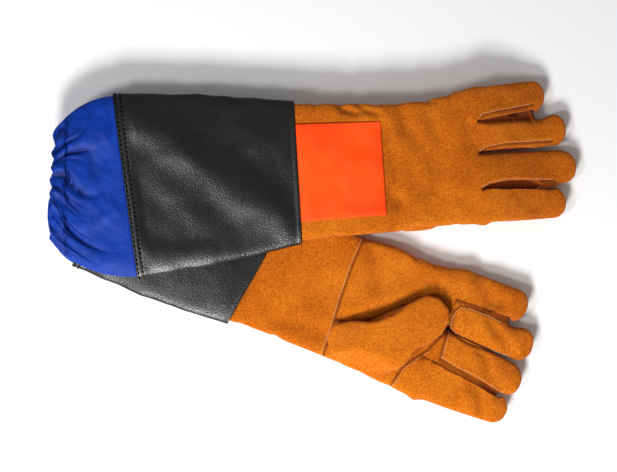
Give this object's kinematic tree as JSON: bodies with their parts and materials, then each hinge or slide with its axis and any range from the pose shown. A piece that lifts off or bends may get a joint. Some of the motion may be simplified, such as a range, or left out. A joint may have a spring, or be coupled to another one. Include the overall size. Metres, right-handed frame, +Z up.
{
  "type": "pair of welding gloves",
  "caption": "Pair of long welding gloves laid one over the other: suede leather hands and gauntlets, coated sleeves, elasticated cloth cuffs; fingers, thumbs and wrists bend.",
  "frame": {"origin": "bottom centre of the box round both gloves, on the surface they lie on", "axes": "+X along the left (upper) glove towards its fingertips, +Y across it towards its little finger, +Z up"},
  "size_m": [0.6064, 0.4146, 0.0457],
  "materials": {
    "split_leather": "suede, matt",
    "grained_leatherette": "coated cloth, fine grain, semi-gloss",
    "blue_nylon": "gathered nylon, slight sheen",
    "elastic": "woven elastic, matt",
    "signal_leather": "smooth, satin",
    "lining_fleece": "brushed cotton, matt",
    "welt_leather": "suede, matt"
  },
  "bodies": {
    "right_sleeve": {"right_elastic_band": "elastic", "right_elastic_cuff": "blue_nylon", "right_gauntlet_back": "split_leather", "right_gauntlet_lining": "lining_fleece", "right_gauntlet_palm": "split_leather", "right_hem_facing": "grained_leatherette", "right_palm_heel": "split_leather", "right_signal_patch": "signal_leather", "right_sleeve_back": "grained_leatherette", "right_sleeve_palm": "grained_leatherette", "right_wrist_welt": "welt_leather"},
    "right_hand": {"right_hand_back": "split_leather", "right_hand_lining": "lining_fleece", "right_palm": "split_leather", "right_thumb_base": "split_leather"},
    "right_thumb": {"right_thumb_inner": "split_leather", "right_thumb_outer": "split_leather"},
    "right_index": {"right_index_back": "split_leather", "right_index_front": "split_leather", "right_index_side_strip": "split_leather"},
    "right_middle": {"right_middle_back": "split_leather", "right_middle_front": "split_leather", "right_middle_side_strip": "split_leather"},
    "right_ring": {"right_ring_back": "split_leather", "right_ring_front": "split_leather", "right_ring_side_strip": "split_leather"},
    "right_little": {"right_little_back": "split_leather", "right_little_front": "split_leather", "right_little_side_strip": "split_leather"},
    "left_sleeve": {"left_elastic_band": "elastic", "left_elastic_cuff": "blue_nylon", "left_gauntlet_back": "split_leather", "left_gauntlet_lining": "lining_fleece", "left_gauntlet_palm": "split_leather", "left_hem_facing": "grained_leatherette", "left_palm_heel": "split_leather", "left_signal_patch": "signal_leather", "left_sleeve_back": "grained_leatherette", "left_sleeve_palm": "grained_leatherette", "left_wrist_welt": "welt_leather"},
    "left_hand": {"left_hand_back": "split_leather", "left_hand_lining": "lining_fleece", "left_palm": "split_leather", "left_thumb_base": "split_leather"},
    "left_thumb": {"left_thumb_inner": "split_leather", "left_thumb_outer": "split_leather"},
    "left_index": {"left_index_back": "split_leather", "left_index_front": "split_leather", "left_index_side_strip": "split_leather"},
    "left_middle": {"left_middle_back": "split_leather", "left_middle_front": "split_leather", "left_middle_side_strip": "split_leather"},
    "left_ring": {"left_ring_back": "split_leather", "left_ring_front": "split_leather", "left_ring_side_strip": "split_leather"},
    "left_little": {"left_little_back": "split_leather", "left_little_front": "split_leather", "left_little_side_strip": "split_leather"}
  },
  "joints": [
    {"name": "left_lift", "type": "slide", "parent": "right_sleeve", "child": "left_sleeve", "axis": [0, 0, 1], "range_m": [0, 0.25]},
    {"name": "right_wrist", "type": "hinge", "parent": "right_sleeve", "child": "right_hand", "pos_m": [0.03786, -0.04937, 0.0112], "axis": [-0.4305, -0.9026, 0], "range_deg": [-40, 40]},
    {"name": "right_little_flex", "type": "hinge", "parent": "right_hand", "child": "right_little", "pos_m": [0.17175, -0.0474, 0.0212], "axis": [-0.4569, -0.8895, 0], "range_deg": [0, 75]},
    {"name": "right_ring_flex", "type": "hinge", "parent": "right_hand", "child": "right_ring", "pos_m": [0.15555, -0.08136, 0.0212], "axis": [-0.5056, -0.8628, 0], "range_deg": [0, 75]},
    {"name": "right_middle_flex", "type": "hinge", "parent": "right_hand", "child": "right_middle", "pos_m": [0.13905, -0.11595, 0.0212], "axis": [-0.5403, -0.8415, 0], "range_deg": [0, 75]},
    {"name": "right_index_flex", "type": "hinge", "parent": "right_hand", "child": "right_index", "pos_m": [0.12137, -0.15303, 0.0212], "axis": [-0.5229, -0.8524, 0], "range_deg": [0, 75]},
    {"name": "right_thumb_open", "type": "hinge", "parent": "right_hand", "child": "right_thumb", "pos_m": [0.05545, -0.1054, 0.0395], "axis": [0.4147, -0.91, 0], "range_deg": [0, 85]},
    {"name": "left_wrist", "type": "hinge", "parent": "left_sleeve", "child": "left_hand", "pos_m": [0.08763, 0.0996, 0.034], "axis": [0, 1, 0], "range_deg": [-40, 40]},
    {"name": "left_little_flex", "type": "hinge", "parent": "left_hand", "child": "left_little", "pos_m": [0.20763, 0.16169, 0.024], "axis": [-0.1039, 0.9946, 0], "range_deg": [0, 75]},
    {"name": "left_ring_flex", "type": "hinge", "parent": "left_hand", "child": "left_ring", "pos_m": [0.20763, 0.12377, 0.024], "axis": [-0.0337, 0.9994, 0], "range_deg": [0, 75]},
    {"name": "left_middle_flex", "type": "hinge", "parent": "left_hand", "child": "left_middle", "pos_m": [0.20763, 0.08497, 0.024], "axis": [0.0316, 0.9995, 0], "range_deg": [0, 75]},
    {"name": "left_index_flex", "type": "hinge", "parent": "left_hand", "child": "left_index", "pos_m": [0.20763, 0.04337, 0.024], "axis": [0.0366, 0.9993, 0], "range_deg": [0, 75]},
    {"name": "left_thumb_open", "type": "hinge", "parent": "left_hand", "child": "left_thumb", "pos_m": [0.12763, 0.0566, 0.0057], "axis": [-0.766, 0.6428, 0], "range_deg": [0, 85]}
  ]
}
